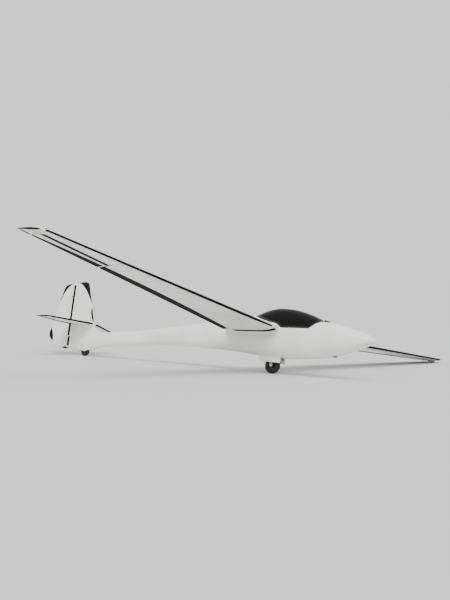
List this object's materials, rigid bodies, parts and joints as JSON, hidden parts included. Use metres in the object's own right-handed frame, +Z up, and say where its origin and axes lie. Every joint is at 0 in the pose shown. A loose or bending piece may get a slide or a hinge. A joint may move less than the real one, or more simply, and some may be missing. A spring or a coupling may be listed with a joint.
{
  "type": "sailplane",
  "caption": "Single-seat sailplane with long slender wings, tinted canopy, all-moving tailplane and one main wheel, parked on its wheels and left wing tip.",
  "frame": {"origin": "middle of the bounding box on the floor", "axes": "+X towards the nose, +Y towards the left wing tip, +Z up; the aircraft itself is parked about 5.1 degrees nose up and 9.1 degrees left wing down"},
  "size_m": [6.939, 14.8134, 2.4272],
  "materials": {
    "white_gelcoat": "polished white gelcoat",
    "black_frame": "satin black laminate",
    "smoked_acrylic": "dark tinted acrylic",
    "tyre_rubber": "matt rubber",
    "black_enamel": "semi-gloss black enamel",
    "white_nylon": "scuffed white nylon",
    "aluminium_tube": "satin",
    "grey_steel": "semi-gloss grey paint",
    "cockpit_grey": "matt grey paint on laminate",
    "black_panel": "matt black",
    "headrest_leather": "dark leather"
  },
  "bodies": {
    "airframe": {"cockpit_shell": "white_gelcoat", "centre_fuselage": "white_gelcoat", "tail_boom": "white_gelcoat", "fin": "white_gelcoat", "wing_left": "white_gelcoat", "wing_right": "white_gelcoat", "wing_tip_left": "white_gelcoat", "wing_tip_right": "white_gelcoat", "root_fairing_left": "white_gelcoat", "root_fairing_right": "white_gelcoat", "wheel_door_left": "white_gelcoat", "wheel_door_right": "white_gelcoat", "canopy_hinge": "black_enamel", "tip_skid_left": "white_nylon", "tip_skid_right": "white_nylon", "main_axle": "grey_steel", "tail_axle": "grey_steel", "main_leg_left": "grey_steel", "main_leg_right": "grey_steel", "tail_leg_left": "grey_steel", "tail_leg_right": "grey_steel", "tow_release": "grey_steel", "rudder_pedals": "grey_steel", "airbrake_lever": "grey_steel", "seat_pan": "cockpit_grey", "seat_back": "cockpit_grey", "instrument_panel": "black_panel", "control_stick": "black_panel", "headrest": "headrest_leather"},
    "canopy": {"canopy_frame": "black_frame", "canopy_glass": "smoked_acrylic"},
    "main_wheel": {"main_tyre": "tyre_rubber", "main_rim": "black_enamel"},
    "tail_wheel": {"tail_tyre": "tyre_rubber", "tail_rim": "black_enamel"},
    "aileron_left_body": {"aileron_left": "white_gelcoat"},
    "aileron_right_body": {"aileron_right": "white_gelcoat"},
    "airbrake_left_body": {"airbrake_left": "white_gelcoat"},
    "airbrake_right_body": {"airbrake_right": "white_gelcoat"},
    "rudder_body": {"rudder": "white_gelcoat"},
    "tailplane": {"tailplane_left": "white_gelcoat", "tailplane_right": "white_gelcoat", "tailplane_tube": "aluminium_tube"}
  },
  "joints": [
    {"name": "canopy_hinge", "type": "hinge", "parent": "airframe", "child": "canopy", "pos_m": [2.43448, -0.03166, 1.01251], "axis": [0, 0.9873, -0.1586], "range_deg": [0, 60]},
    {"name": "main_wheel_spin", "type": "hinge", "parent": "airframe", "child": "main_wheel", "pos_m": [1.44784, -0.17039, 0.14873], "axis": [0, 0.9873, -0.1586], "continuous": true},
    {"name": "tail_wheel_spin", "type": "hinge", "parent": "airframe", "child": "tail_wheel", "pos_m": [-2.59718, -0.17965, 0.0911], "axis": [0, 0.9873, -0.1586], "continuous": true},
    {"name": "aileron_left_hinge", "type": "hinge", "parent": "airframe", "child": "aileron_left_body", "pos_m": [1.02924, 6.07534, 0.15947], "axis": [0.0249, 0.9958, -0.0886], "range_deg": [-20, 20]},
    {"name": "aileron_right_hinge", "type": "hinge", "parent": "airframe", "child": "aileron_right_body", "pos_m": [1.02924, -6.09865, 2.11471], "axis": [0.0249, -0.9734, 0.2277], "range_deg": [-20, 20]},
    {"name": "airbrake_left_slide", "type": "slide", "parent": "airframe", "child": "airbrake_left_body", "axis": [-0.0895, 0.1579, 0.9834], "range_m": [0, 0.07]},
    {"name": "airbrake_right_slide", "type": "slide", "parent": "airframe", "child": "airbrake_right_body", "axis": [-0.0895, 0.1579, 0.9834], "range_m": [0, 0.07]},
    {"name": "rudder_hinge", "type": "hinge", "parent": "airframe", "child": "rudder_body", "pos_m": [-3.0427, -0.08585, 0.67511], "axis": [-0.0087, 0.1586, 0.9873], "range_deg": [-30, 30]},
    {"name": "tailplane_hinge", "type": "hinge", "parent": "airframe", "child": "tailplane", "pos_m": [-2.66837, -0.09835, 0.5973], "axis": [0, 0.9873, -0.1586], "range_deg": [-10, 10]}
  ],
  "couplings": [
    {"joint": "aileron_right_hinge", "follows": "aileron_left_hinge", "ratio": 1},
    {"joint": "airbrake_right_slide", "follows": "airbrake_left_slide", "ratio": 1}
  ]
}
